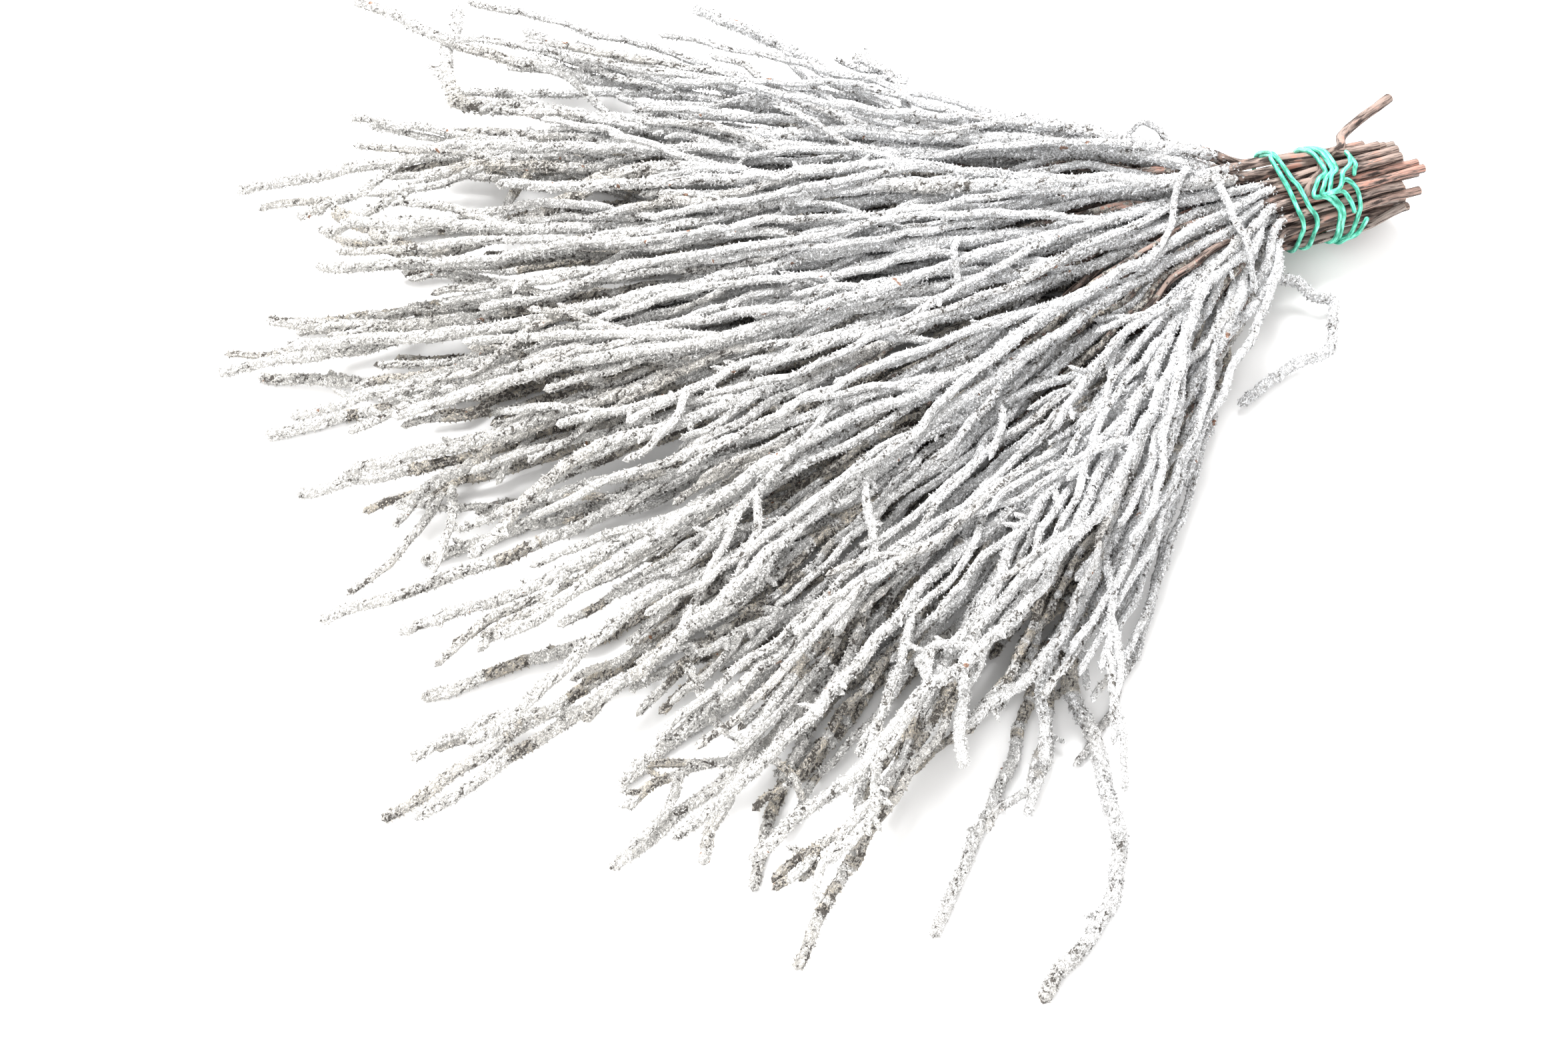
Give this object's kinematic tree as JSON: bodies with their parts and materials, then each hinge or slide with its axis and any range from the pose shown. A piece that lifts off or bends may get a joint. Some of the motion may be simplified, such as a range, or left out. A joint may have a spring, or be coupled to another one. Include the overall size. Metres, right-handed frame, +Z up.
{
  "type": "bundle of twigs",
  "caption": "Fan-shaped bunch of thin branching twigs in a rough white snow crust, lying down and tied near the bare cut ends with green coated wire.",
  "frame": {"origin": "The middle of the lying bunch's box, on the surface that it lies on.", "axes": "+X points along the grip towards the cut ends, and the twigs fan out towards -X. +Y runs across the fan, its longest extent. +Z is up."},
  "size_m": [0.4428, 0.4812, 0.0537],
  "materials": {
    "snow_crust": "thin wood under a matt, flaky white crust of false snow",
    "bark": "bare matt brown bark",
    "wire_coat": "smooth, slightly glossy mint green plastic coat on wire"
  },
  "bodies": {
    "root": {"twig_01": "snow_crust", "twig_02": "snow_crust", "twig_03": "snow_crust", "twig_04": "snow_crust", "twig_05": "snow_crust", "twig_06": "snow_crust", "twig_07": "snow_crust", "twig_08": "snow_crust", "twig_09": "snow_crust", "twig_10": "snow_crust", "twig_11": "snow_crust", "twig_12": "snow_crust", "twig_13": "snow_crust", "twig_14": "snow_crust", "twig_15": "snow_crust", "twig_16": "snow_crust", "twig_17": "snow_crust", "twig_18": "snow_crust", "twig_19": "snow_crust", "twig_20": "snow_crust", "twig_21": "snow_crust", "twig_22": "snow_crust", "twig_23": "snow_crust", "twig_24": "snow_crust", "twig_25": "snow_crust", "twig_26": "snow_crust", "twig_27": "snow_crust", "twig_28": "snow_crust", "twig_29": "snow_crust", "twig_30": "snow_crust", "twig_31": "snow_crust", "twig_32": "snow_crust", "twig_33": "snow_crust", "twig_34": "snow_crust", "twig_35": "snow_crust", "twig_36": "snow_crust", "twig_37": "snow_crust", "twig_38": "snow_crust", "twig_39": "snow_crust", "twig_40": "snow_crust", "twig_41": "snow_crust", "twig_42": "snow_crust", "twig_43": "snow_crust", "twig_44": "snow_crust", "twig_45": "snow_crust", "twig_46": "snow_crust", "twig_47": "snow_crust", "twig_48": "snow_crust", "twig_49": "snow_crust", "twig_50": "snow_crust", "twig_51": "snow_crust", "twig_52": "snow_crust", "bare_twig": "bark", "tie_left": "wire_coat", "tie_right": "wire_coat"}
  },
  "joints": []
}
